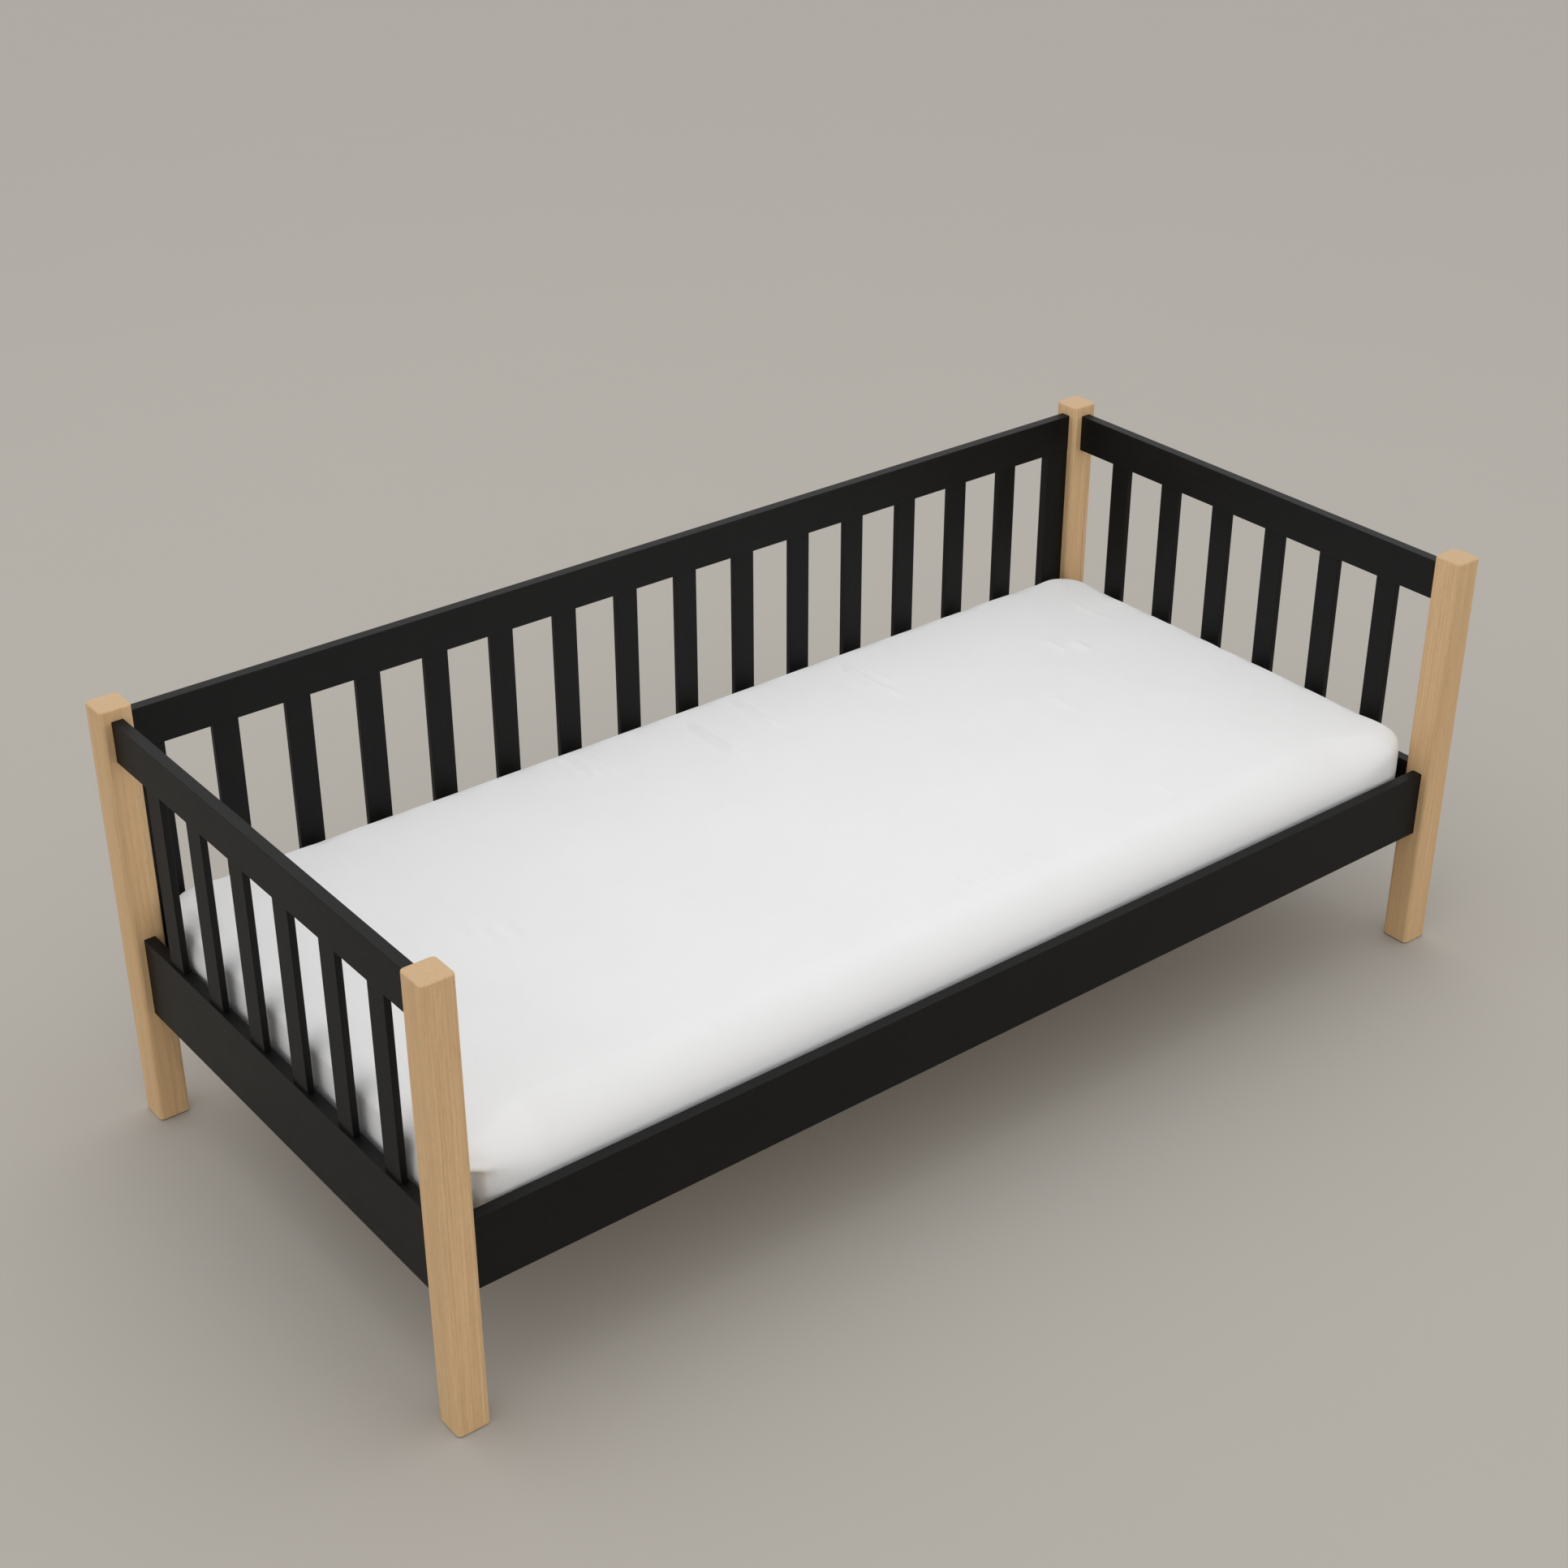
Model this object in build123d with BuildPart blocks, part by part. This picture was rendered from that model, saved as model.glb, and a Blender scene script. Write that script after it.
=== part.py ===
"""A toddler bed for an 80 x 180 cm mattress.

Four oak posts carry black rails. The two ends and the back are railings of upright
slats, and the front is a single low rail that a small child can climb over.
X runs along the bed, +Y points to the back, Z is up, and the origin is on the floor
under the middle of the bed.
"""
import os

from build123d import *

# Overall size
bed_length = 1888
bed_width = 887
bed_height = 690

# Oak posts and the felt pads under them
post_side = 49
post_round = 7
post_top_round = 2.5
pad_thick = 2
pad_radius = 18

# Black boards: rails, stiles and upright slats
board_thick = 18
board_edge = 1
top_rail_top = 672.5
top_rail_tall = 63.5
low_rail_top = 318
long_rail_tall = 110
end_rail_tall = 128
stile_wide = 45.5
slat_wide = 40
slat_thick = 10
slat_edge = 1
tenon = 12
back_slat_count = 14
end_slat_count = 6

# Slatted base
ledger_wide = 20
ledger_tall = 25
ledger_gap = 5
ledger_screw_count = 6
base_top = 270
base_slat_count = 13
base_slat_wide = 70
base_slat_thick = 15
base_slat_play = 1.5
base_edge = 3
tape_wide = 25
tape_thick = 1
tape_y = 230

# Mattress, its cover and the fitted sheet
mattress_length = 1812
mattress_width = 812
mattress_tall = 110
mattress_corner = 62
mattress_edge = 36
cover_thick = 4
sheet_thick = 1.2
sheet_turn_under = 110
soft_gap = 0.3

# Joining pieces
dowel_radius = 4
dowel_half = 18
dowel_chamfer = 0.8
back_dowel_below = 12
back_dowel_above = 20
back_stud_above = 4
end_dowel_off = 16
end_dowel_share = 0.3
long_stud_off = 27
stud_radius = 3
stud_in_post = 30
stud_past_nut = 3
stud_play = 0.5
pocket_radius = 10
pocket_deep = 14.5
pocket_from_end = 40
washer_play = 0.2
washer_thick = 5
nut_across_flats = 10
nut_thick = 5
screw_radius = 2
screw_head_radius = 4
screw_head_angle = 90
ledger_screw_long = 33
base_screw_long = 30
staple_wide = 10
staple_wire = 1
staple_leg = 9

# Worked out from the sizes above
post_x = (bed_length - post_side) / 2
post_y = (bed_width - post_side) / 2
post_top = bed_height
rail_end_x = bed_length / 2 - post_side
rail_end_y = bed_width / 2 - post_side
top_rail_bottom = top_rail_top - top_rail_tall
top_rail_middle = top_rail_top - top_rail_tall / 2
long_rail_bottom = low_rail_top - long_rail_tall
long_rail_middle = low_rail_top - long_rail_tall / 2
end_rail_bottom = low_rail_top - end_rail_tall
slat_tall = top_rail_bottom - low_rail_top + 2 * tenon
inside_y = post_y - board_thick / 2
ledger_top = base_top - base_slat_thick
ledger_y = inside_y - ledger_wide / 2
ledger_long = 2 * (rail_end_x - ledger_gap)
mattress_bottom = base_top + soft_gap + sheet_thick

# Dowels and studs sit at these heights in the rails
back_top_dowels = [top_rail_middle - back_dowel_below, top_rail_middle + back_dowel_above]
back_top_studs = [top_rail_middle + back_stud_above]
end_top_dowels = [top_rail_middle - end_dowel_off, top_rail_middle + end_dowel_off]
long_rail_dowels = [long_rail_middle]
long_rail_studs = [long_rail_middle - long_stud_off, long_rail_middle + long_stud_off]
end_rail_middle = low_rail_top - end_rail_tall / 2
end_rail_dowels = [
    end_rail_middle + end_rail_tall * end_dowel_share * step for step in (-1, 0, 1)
]

MIDDLE = (Align.CENTER, Align.CENTER, Align.CENTER)
STANDING = (Align.CENTER, Align.CENTER, Align.MIN)


def save(piece, name):
    """Label a finished piece and write it as its own STEP file."""
    piece.part.label = name
    export_step(piece.part, f"parts/{name}.step")


def spread(count, wide, first, last):
    """Centres of equal slats, with equal gaps between them and at both ends."""
    gap = (last - first - count * wide) / (count + 1)
    return [first + gap + wide / 2 + number * (wide + gap) for number in range(count)]


def bore(mouth, into, radius, deep):
    """Cut a round blind hole that starts at mouth and runs along into."""
    with Locations(Plane(origin=mouth, z_dir=into)):
        Cylinder(radius, deep, align=STANDING, mode=Mode.SUBTRACT)


back_slat_x = spread(
    back_slat_count, slat_wide, -rail_end_x + stile_wide, rail_end_x - stile_wide
)
end_slat_y = spread(end_slat_count, slat_wide, -rail_end_y, rail_end_y)
stile_x = rail_end_x - stile_wide / 2
base_slat_x = spread(
    base_slat_count, base_slat_wide, -mattress_length / 2, mattress_length / 2
)
ledger_screw_x = spread(ledger_screw_count, 0, -ledger_long / 2, ledger_long / 2)
screwed_slat_x = [base_slat_x[0], base_slat_x[base_slat_count // 2], base_slat_x[-1]]


# ---------------------------------------------------------------- posts and pads
def make_post(name, side_x, side_y):
    """A square oak post with rounded corners, bored for dowels and studs."""
    x = side_x * post_x
    y = side_y * post_y
    with BuildPart() as post:
        with BuildSketch(Plane.XY.offset(pad_thick)):
            with Locations((x, y)):
                RectangleRounded(post_side, post_side, post_round)
        extrude(amount=post_top - pad_thick)
        fillet(post.faces().sort_by(Axis.Z)[-1].edges(), post_top_round)
        end_mouth_y = side_y * rail_end_y
        for z in end_top_dowels + end_rail_dowels:
            bore((x, end_mouth_y, z), (0, side_y, 0), dowel_radius, dowel_half)
        long_mouth_x = side_x * rail_end_x
        top_dowels = back_top_dowels if side_y > 0 else []
        top_studs = back_top_studs if side_y > 0 else []
        for z in long_rail_dowels + top_dowels:
            bore((long_mouth_x, y, z), (side_x, 0, 0), dowel_radius, dowel_half)
        for z in long_rail_studs + top_studs:
            bore((long_mouth_x, y, z), (side_x, 0, 0), stud_radius, stud_in_post)
    save(post, f"post_{name}")


def make_pad(name, side_x, side_y):
    """The felt pad stuck under a post."""
    with BuildPart() as pad:
        with Locations((side_x * post_x, side_y * post_y, 0)):
            Cylinder(pad_radius, pad_thick, align=STANDING)
    save(pad, f"felt_pad_{name}")


# ------------------------------------------------------------------------ rails
def make_long_rail(name, side_y, bottom, tall, dowels, studs, mortise_z=None):
    """A rail along the bed. Its stud pockets open towards the back, out of sight."""
    y = side_y * post_y
    with BuildPart() as rail:
        with Locations((0, y, bottom)):
            Box(2 * rail_end_x, board_thick, tall, align=STANDING)
        fillet(rail.edges().filter_by(Axis.X), board_edge)
        for side_x in (-1, 1):
            inward = (-side_x, 0, 0)
            for z in dowels:
                bore((side_x * rail_end_x, y, z), inward, dowel_radius, dowel_half)
            for z in studs:
                mouth = (side_x * rail_end_x, y, z)
                bore(mouth, inward, stud_radius + stud_play, pocket_from_end)
                pocket_x = side_x * (rail_end_x - pocket_from_end)
                back_face = (pocket_x, y + board_thick / 2, z)
                bore(back_face, (0, -1, 0), pocket_radius, pocket_deep)
        if mortise_z is not None:
            with Locations(*[(x, y, mortise_z) for x in back_slat_x]):
                Box(slat_wide, slat_thick, 2 * tenon, align=MIDDLE, mode=Mode.SUBTRACT)
            with Locations(*[(side * stile_x, y, mortise_z) for side in (-1, 1)]):
                Box(
                    stile_wide - slat_thick,
                    slat_thick,
                    2 * tenon,
                    align=MIDDLE,
                    mode=Mode.SUBTRACT,
                )
        if bottom < base_top:
            inside_face = y - side_y * board_thick / 2
            for x in ledger_screw_x:
                middle = (x, inside_face, ledger_top - ledger_tall / 2)
                bore(middle, (0, side_y, 0), screw_radius, ledger_screw_long - ledger_wide)
    save(rail, name)


def make_end_rail(name, side_x, bottom, tall, dowels, mortise_z):
    """A rail across the bed, doweled to two posts and mortised for the end slats."""
    x = side_x * post_x
    with BuildPart() as rail:
        with Locations((x, 0, bottom)):
            Box(board_thick, 2 * rail_end_y, tall, align=STANDING)
        fillet(rail.edges().filter_by(Axis.Y), board_edge)
        for side_y in (-1, 1):
            for z in dowels:
                mouth = (x, side_y * rail_end_y, z)
                bore(mouth, (0, -side_y, 0), dowel_radius, dowel_half)
        with Locations(*[(x, y, mortise_z) for y in end_slat_y]):
            Box(slat_thick, slat_wide, 2 * tenon, align=MIDDLE, mode=Mode.SUBTRACT)
    save(rail, name)


# -------------------------------------------------------------- slats and stiles
def make_slat(name, x, y, size_x, size_y):
    """An upright slat whose ends sit in the rails."""
    with BuildPart() as slat:
        with Locations((x, y, low_rail_top - tenon)):
            Box(size_x, size_y, slat_tall, align=STANDING)
        fillet(slat.edges().filter_by(Axis.Z), slat_edge)
    save(slat, name)


def make_stile(name, side_x):
    """The wider upright beside a back post, flush with the rails, with stub tenons."""
    x = side_x * stile_x
    with BuildPart() as stile:
        with Locations((x, post_y, low_rail_top)):
            Box(stile_wide, board_thick, slat_tall - 2 * tenon, align=STANDING)
        fillet(stile.edges().filter_by(Axis.Z), board_edge)
        with Locations((x, post_y, low_rail_top - tenon)):
            Box(stile_wide - slat_thick, slat_thick, slat_tall, align=STANDING)
    save(stile, f"back_stile_{name}")


# ------------------------------------------------------------------ slatted base
def make_ledger(name, side_y):
    """A batten screwed inside a long rail, for the base slats to lie on."""
    with BuildPart() as ledger:
        with Locations((0, side_y * ledger_y, ledger_top - ledger_tall)):
            Box(ledger_long, ledger_wide, ledger_tall, align=STANDING)
        chamfer(ledger.edges().filter_by(Axis.X), board_edge)
        free_face = side_y * (ledger_y - ledger_wide / 2)
        for x in ledger_screw_x:
            with Locations(
                Plane(
                    origin=(x, free_face, ledger_top - ledger_tall / 2),
                    z_dir=(0, -side_y, 0),
                )
            ):
                CounterSinkHole(
                    screw_radius,
                    screw_head_radius,
                    depth=ledger_wide,
                    counter_sink_angle=screw_head_angle,
                )
        for x in screwed_slat_x:
            mouth = (x, side_y * ledger_y, ledger_top)
            bore(mouth, (0, 0, -1), screw_radius, base_screw_long - base_slat_thick)
    save(ledger, f"base_ledger_{name}")


def make_base_slats():
    """Cross slats that carry the mattress, as one rolled-out set."""
    with BuildPart() as slats:
        with Locations(*[(x, 0, ledger_top) for x in base_slat_x]):
            Box(
                base_slat_wide,
                2 * (inside_y - base_slat_play),
                base_slat_thick,
                align=STANDING,
            )
        fillet(slats.edges().filter_by(Axis.Y), base_edge)
        for x in screwed_slat_x:
            with Locations(
                Location((x, ledger_y, base_top)), Location((x, -ledger_y, base_top))
            ):
                CounterSinkHole(
                    screw_radius,
                    screw_head_radius,
                    depth=base_slat_thick,
                    counter_sink_angle=screw_head_angle,
                )
    save(slats, "base_slats")


def make_tapes():
    """Two woven tapes under the base slats that keep them apart."""
    first = base_slat_x[0] - base_slat_wide / 2
    with BuildPart() as tapes:
        with Locations((0, tape_y, ledger_top), (0, -tape_y, ledger_top)):
            Box(
                -2 * first,
                tape_wide,
                tape_thick,
                align=(Align.CENTER, Align.CENTER, Align.MAX),
            )
    save(tapes, "base_tapes")


def make_staples():
    """Wire staples that hold the tapes to each base slat."""
    below_tape = ledger_top - tape_thick
    spots = [(x, side * tape_y) for x in base_slat_x for side in (-1, 1)]
    with BuildPart() as staples:
        with Locations(*[(x, y, below_tape) for x, y in spots]):
            Box(
                staple_wire,
                staple_wide,
                staple_wire,
                align=(Align.CENTER, Align.CENTER, Align.MAX),
            )
        reach = (staple_wide - staple_wire) / 2
        legs = [(x, y + side * reach, below_tape) for x, y in spots for side in (-1, 1)]
        with Locations(*legs):
            Box(staple_wire, staple_wire, staple_leg, align=STANDING)
    save(staples, "tape_staples")


# --------------------------------------------------------------- joining pieces
def rail_joints(end_heights, back_top_heights, long_heights):
    """Mouth and outward direction of every joint of one kind between rail and post."""
    joints = []
    for side_x in (-1, 1):
        for side_y in (-1, 1):
            for z in end_heights:
                mouth = (side_x * post_x, side_y * rail_end_y, z)
                joints.append((mouth, (0, side_y, 0)))
            top_heights = back_top_heights if side_y > 0 else []
            for z in long_heights + top_heights:
                mouth = (side_x * rail_end_x, side_y * post_y, z)
                joints.append((mouth, (side_x, 0, 0)))
    return joints


def make_dowels():
    """Fluted beech dowels, drawn plain, half in the post and half in the rail."""
    joints = rail_joints(
        end_top_dowels + end_rail_dowels, back_top_dowels, long_rail_dowels
    )
    with BuildPart() as dowels:
        with Locations(*[Plane(origin=mouth, z_dir=out) for mouth, out in joints]):
            Cylinder(dowel_radius, 2 * dowel_half, align=MIDDLE)
        chamfer(dowels.edges().filter_by(GeomType.CIRCLE), dowel_chamfer)
    save(dowels, "dowels")


stud_joints = rail_joints([], back_top_studs, long_rail_studs)


def make_studs():
    """Steel studs, screwed into the posts and reaching through to the pockets."""
    reach = pocket_from_end + stud_past_nut
    with BuildPart() as studs:
        with Locations(
            *[
                Plane(
                    origin=(mouth[0] - out[0] * reach, mouth[1], mouth[2]), z_dir=out
                )
                for mouth, out in stud_joints
            ]
        ):
            Cylinder(stud_radius, reach + stud_in_post, align=STANDING)
        chamfer(studs.edges().filter_by(GeomType.CIRCLE), dowel_chamfer)
    save(studs, "joint_studs")


def make_washers():
    """Half-moon washers that bear on the round wall of each pocket."""
    radius = pocket_radius - washer_play
    with BuildPart() as washers:
        for mouth, out in stud_joints:
            pocket_x = mouth[0] - out[0] * pocket_from_end
            flat_x = pocket_x + out[0] * (radius - washer_thick)
            spot = Plane(origin=(pocket_x, mouth[1], mouth[2]), z_dir=(0, 1, 0))
            with Locations(spot):
                Cylinder(radius, nut_across_flats, align=MIDDLE)
            with Locations((flat_x - out[0] * pocket_radius, mouth[1], mouth[2])):
                Box(
                    2 * pocket_radius,
                    board_thick,
                    3 * pocket_radius,
                    align=MIDDLE,
                    mode=Mode.SUBTRACT,
                )
            bore((mouth[0], mouth[1], mouth[2]), (-out[0], 0, 0), stud_radius, pocket_from_end)
    save(washers, "half_moon_washers")


def make_nuts():
    """Hexagon nuts that pull the studs tight against the washers."""
    washer_flat = pocket_radius - washer_play - washer_thick
    with BuildPart() as nuts:
        for mouth, out in stud_joints:
            face_x = mouth[0] - out[0] * (pocket_from_end - washer_flat)
            seat = Plane(
                origin=(face_x, mouth[1], mouth[2]),
                x_dir=(0, 0, 1),
                z_dir=(-out[0], 0, 0),
            )
            with BuildSketch(seat):
                RegularPolygon(nut_across_flats / 2, 6, major_radius=False)
                Circle(stud_radius, mode=Mode.SUBTRACT)
            extrude(amount=nut_thick)
    save(nuts, "joint_nuts")


def make_screws(name, heads, long):
    """Countersunk screws. Each head is given by its centre and the way it points."""
    head_tall = screw_head_radius - screw_radius
    with BuildPart() as screws:
        with Locations(*[Plane(origin=head, z_dir=into) for head, into in heads]):
            Cylinder(screw_radius, long, align=STANDING)
            Cone(screw_head_radius, screw_radius, head_tall, align=STANDING)
    save(screws, name)


def make_all_screws():
    """Screws through the ledgers into the rails, and through the end base slats."""
    free_face = ledger_y - ledger_wide / 2
    middle_z = ledger_top - ledger_tall / 2
    ledger_heads = [
        ((x, side * free_face, middle_z), (0, side, 0))
        for x in ledger_screw_x
        for side in (-1, 1)
    ]
    make_screws("ledger_screws", ledger_heads, ledger_screw_long)
    base_heads = [
        ((x, side * ledger_y, base_top), (0, 0, -1))
        for x in screwed_slat_x
        for side in (-1, 1)
    ]
    make_screws("base_slat_screws", base_heads, base_screw_long)


# --------------------------------------------------------------------- mattress
def padded_block(grow):
    """The mattress outline, grown on every side by the given amount."""
    with BuildPart() as block:
        with BuildSketch(Plane.XY.offset(mattress_bottom - grow)):
            RectangleRounded(
                mattress_length + 2 * grow,
                mattress_width + 2 * grow,
                mattress_corner + grow,
            )
        extrude(amount=mattress_tall + 2 * grow)
        rims = block.faces().filter_by(Axis.Z).edges()
        fillet(rims, mattress_edge + grow)
    return block


def make_mattress():
    """Foam core, quilted cover and fitted sheet, one inside the other."""
    core = padded_block(-cover_thick)
    save(core, "mattress_core")
    outside = padded_block(0)
    with BuildPart() as cover:
        add(outside.part)
        add(core.part, mode=Mode.SUBTRACT)
    save(cover, "mattress_cover")
    around = padded_block(sheet_thick)
    with BuildPart() as sheet:
        add(around.part)
        add(outside.part, mode=Mode.SUBTRACT)
        with BuildSketch(Plane.XY.offset(mattress_bottom - 2 * sheet_thick)):
            RectangleRounded(
                mattress_length - 2 * sheet_turn_under,
                mattress_width - 2 * sheet_turn_under,
                mattress_corner,
            )
        extrude(amount=3 * sheet_thick, mode=Mode.SUBTRACT)
    save(sheet, "fitted_sheet")


# ------------------------------------------------------------------ whole object
def main():
    os.makedirs("parts", exist_ok=True)

    corners = [
        ("front_left", -1, -1),
        ("front_right", 1, -1),
        ("back_left", -1, 1),
        ("back_right", 1, 1),
    ]
    for name, side_x, side_y in corners:
        make_post(name, side_x, side_y)
        make_pad(name, side_x, side_y)

    make_long_rail(
        "front_rail", -1, long_rail_bottom, long_rail_tall, long_rail_dowels, long_rail_studs
    )
    make_long_rail(
        "back_low_rail",
        1,
        long_rail_bottom,
        long_rail_tall,
        long_rail_dowels,
        long_rail_studs,
        low_rail_top,
    )
    make_long_rail(
        "back_top_rail",
        1,
        top_rail_bottom,
        top_rail_tall,
        back_top_dowels,
        back_top_studs,
        top_rail_bottom,
    )
    for number, x in enumerate(back_slat_x, start=1):
        make_slat(f"back_slat_{number:02d}", x, post_y, slat_wide, slat_thick)

    for name, side_x in (("left", -1), ("right", 1)):
        make_end_rail(
            f"{name}_top_rail",
            side_x,
            top_rail_bottom,
            top_rail_tall,
            end_top_dowels,
            top_rail_bottom,
        )
        make_end_rail(
            f"{name}_low_rail",
            side_x,
            end_rail_bottom,
            end_rail_tall,
            end_rail_dowels,
            low_rail_top,
        )
        make_stile(name, side_x)
        for number, y in enumerate(end_slat_y, start=1):
            slat_name = f"{name}_slat_{number:02d}"
            make_slat(slat_name, side_x * post_x, y, slat_thick, slat_wide)

    make_ledger("front", -1)
    make_ledger("back", 1)
    make_base_slats()
    make_tapes()
    make_staples()
    make_dowels()
    make_studs()
    make_washers()
    make_nuts()
    make_all_screws()
    make_mattress()


main()
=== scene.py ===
"""Looks for the toddler bed: oak posts, black rails, a slatted base and a sheeted mattress."""
import math

import bmesh
import bpy
import numpy as np
from bpy.props import FloatProperty, FloatVectorProperty, PointerProperty
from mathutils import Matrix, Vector, noise


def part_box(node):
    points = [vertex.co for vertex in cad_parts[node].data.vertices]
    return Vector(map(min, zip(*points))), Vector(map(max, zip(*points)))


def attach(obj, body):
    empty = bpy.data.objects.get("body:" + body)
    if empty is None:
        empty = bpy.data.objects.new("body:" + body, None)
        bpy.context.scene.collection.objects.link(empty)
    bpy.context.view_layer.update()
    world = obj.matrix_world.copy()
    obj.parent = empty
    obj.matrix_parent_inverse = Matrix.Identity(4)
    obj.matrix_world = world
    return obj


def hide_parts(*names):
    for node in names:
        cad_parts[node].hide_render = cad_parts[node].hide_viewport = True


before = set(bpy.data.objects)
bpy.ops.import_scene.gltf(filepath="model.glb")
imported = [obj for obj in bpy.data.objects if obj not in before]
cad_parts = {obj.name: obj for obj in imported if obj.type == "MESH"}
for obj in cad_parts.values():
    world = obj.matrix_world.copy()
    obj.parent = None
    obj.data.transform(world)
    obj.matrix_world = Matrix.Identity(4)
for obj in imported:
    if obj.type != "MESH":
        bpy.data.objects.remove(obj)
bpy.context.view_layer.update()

bl_info = {
    "name": "Toddler bed maker",
    "version": (1, 0, 0),
    "blender": (4, 5, 0),
    "location": "View3D > Sidebar > Bed",
    "description": "Finishes a slatted toddler bed in oak, black lacquer and white cotton",
    "category": "Object",
}

SHEET_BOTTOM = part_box("fitted_sheet")[0].z
COVER_LOW, COVER_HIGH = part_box("mattress_cover")
COVER_TALL = COVER_HIGH.z - COVER_LOW.z
RAIL_INSIDE_X = -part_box("left_low_rail")[1].x
RAIL_INSIDE_Y = -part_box("front_rail")[1].y


# --------------------------------------------------------------------- settings
def colour(name, description, default):
    """A colour setting."""
    return FloatVectorProperty(
        name=name, description=description, subtype="COLOR", default=default, min=0, max=1
    )


class OakSettings(bpy.types.PropertyGroup):
    light: colour("Light wood", "Colour of the pale early wood", (0.725, 0.495, 0.272))
    dark: colour("Dark wood", "Colour of the late wood lines", (0.53, 0.335, 0.166))
    warm: colour("Warm patches", "Colour of the redder patches", (0.66, 0.42, 0.21))
    end: colour("End grain", "Colour of the sawn ends, which drink more oil", (0.51, 0.352, 0.208))
    pore: colour("Pores", "Colour inside the open pores", (0.30, 0.18, 0.09))
    ring: FloatProperty(
        name="Ring width",
        description="Distance from one growth ring to the next",
        unit="LENGTH",
        default=0.0036,
        min=0.001,
        max=0.02,
    )


class LacquerSettings(bpy.types.PropertyGroup):
    black: colour("Black", "Colour of the lacquer on the rails", (0.0036, 0.0034, 0.0032))
    worn: colour(
        "Raised grain",
        "Colour where the grain stands up under the lacquer",
        (0.0072, 0.0067, 0.0062),
    )
    roughness: FloatProperty(
        name="Roughness",
        description="How matt the lacquer is",
        default=0.48,
        min=0,
        max=1,
        subtype="FACTOR",
    )


class SheetSettings(bpy.types.PropertyGroup):
    cotton: colour("Cotton", "Colour of the fitted sheet", (0.86, 0.86, 0.86))
    edge: FloatProperty(
        name="Edge",
        description="How far the rounded edge of the mattress reaches over its top",
        default=0.028,
        min=0.01,
        max=0.055,
        subtype="DISTANCE",
        unit="LENGTH",
    )
    front_edge: FloatProperty(
        name="Front edge",
        description="Radius of the front edge, which is rounder from being sat on",
        default=0.075,
        min=0.01,
        max=0.08,
        subtype="DISTANCE",
        unit="LENGTH",
    )
    corner: FloatProperty(
        name="Corner radius",
        description="How round the mattress is at its corners, seen from above",
        unit="LENGTH",
        default=0.062,
        min=0.03,
        max=0.2,
    )
    step: FloatProperty(
        name="Mesh step",
        description="Distance between points of the mattress mesh before it is refined",
        unit="LENGTH",
        default=0.011,
        min=0.006,
        max=0.05,
    )
    sag: FloatProperty(
        name="Sag",
        description="How much lower the top lies in the middle than at the left end",
        default=0.0025,
        min=0,
        max=0.02,
        subtype="DISTANCE",
        unit="LENGTH",
    )
    crease: FloatProperty(
        name="Creases",
        description="How strongly the short creases of the sheet stand up",
        default=2.5,
        min=0,
        max=4,
    )
    tuck: FloatProperty(
        name="Tuck",
        description="Height of the tuck in the sheet beside the front left post",
        default=0.357,
        min=0.3,
        max=0.375,
        subtype="DISTANCE",
        unit="LENGTH",
    )
    hem: FloatProperty(
        name="Turn under",
        description="How far the sheet reaches in under the mattress",
        unit="LENGTH",
        default=0.11,
        min=0.02,
        max=0.3,
    )


class StageSettings(bpy.types.PropertyGroup):
    floor: FloatVectorProperty(
        name="Floor",
        description="Colour of the plain pale floor",
        subtype="COLOR",
        default=(0.45, 0.42, 0.38),
        min=0,
        max=1,
    )
    walls: FloatProperty(
        name="Walls",
        description="Brightness of the pale studio walls, level with the bed",
        default=1.05,
        min=0,
        max=10,
    )
    ceiling: FloatProperty(
        name="Ceiling",
        description="Brightness of the studio ceiling, straight above",
        default=0.84,
        min=0,
        max=10,
    )
    lamp: FloatProperty(
        name="Softbox power",
        description="Power of the large softbox above the bed",
        default=36,
        min=0,
        max=5000,
        subtype="POWER",
    )
    focal: FloatProperty(
        name="Lens",
        description="Focal length of the camera on a 36 mm sensor",
        subtype="DISTANCE_CAMERA",
        default=57.366,
        min=10,
        max=300,
    )


class BedSettings(bpy.types.PropertyGroup):
    oak: PointerProperty(type=OakSettings, name="Oak", description="The four posts")
    lacquer: PointerProperty(
        type=LacquerSettings, name="Lacquer", description="The black rails and slats"
    )
    sheet: PointerProperty(
        type=SheetSettings, name="Sheet", description="The mattress and its sheet"
    )
    stage: PointerProperty(
        type=StageSettings, name="Stage", description="Floor, light and camera"
    )


# ------------------------------------------------------------------ node helpers
def add(tree, kind, values=None, **settings):
    """Add a node, give it its settings, and fill or wire its inputs."""
    made = tree.nodes.new(kind)
    for name, value in settings.items():
        setattr(made, name, value)
    for name, value in (values or {}).items():
        socket = made.inputs[name]
        if isinstance(value, bpy.types.NodeSocket):
            tree.links.new(value, socket)
        else:
            socket.default_value = value
    return made


def sums(tree, operation, *values, clamp=False):
    """A Math node's result."""
    numbered = dict(enumerate(values))
    return add(
        tree, "ShaderNodeMath", numbered, operation=operation, use_clamp=clamp
    ).outputs[0]


def vectors(tree, operation, *values):
    """A Vector Math node's result. SCALE takes a vector and a number."""
    names = (0, "Scale") if operation == "SCALE" else range(len(values))
    made = add(
        tree, "ShaderNodeVectorMath", dict(zip(names, values)), operation=operation
    )
    return made.outputs["Value" if operation == "LENGTH" else "Vector"]


def mapped(tree, value, low, high, new_low=0.0, new_high=1.0):
    """A value moved from one range to another, and held inside it."""
    inputs = {
        "Value": value,
        "From Min": low,
        "From Max": high,
        "To Min": new_low,
        "To Max": new_high,
    }
    return add(tree, "ShaderNodeMapRange", inputs).outputs["Result"]


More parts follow.
